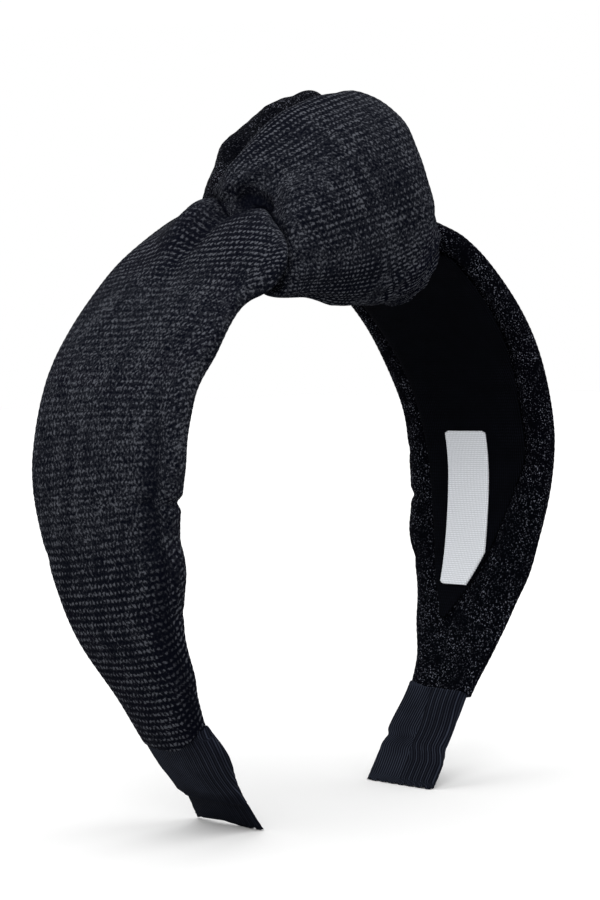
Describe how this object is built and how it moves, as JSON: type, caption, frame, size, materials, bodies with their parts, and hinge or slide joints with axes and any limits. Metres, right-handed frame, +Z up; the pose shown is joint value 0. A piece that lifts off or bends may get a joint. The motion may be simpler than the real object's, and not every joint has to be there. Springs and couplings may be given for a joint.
{
  "type": "padded headband",
  "caption": "Wide padded fabric headband with a big puffed knot at the crown, a dark cloth lining, a bare woven label and slim ribbon-bound tips, standing open end down.",
  "frame": {"origin": "on the floor, midway between the two tips, under the middle of the band's width", "axes": "+Z up to the crown, +X to the leg that carries the label, -Y towards the wearer's forehead"},
  "size_m": [0.1484, 0.0696, 0.1898],
  "materials": {
    "woven_cloth": "matt",
    "lining_cloth": "matt",
    "label_weave": "matt",
    "ribbon": "satin"
  },
  "bodies": {
    "root": {"band_left": "woven_cloth", "band_right": "woven_cloth", "knot_wrap": "woven_cloth", "knot_roll": "woven_cloth", "lining": "lining_cloth", "label": "label_weave", "tip_left": "ribbon", "tip_right": "ribbon"}
  },
  "joints": []
}
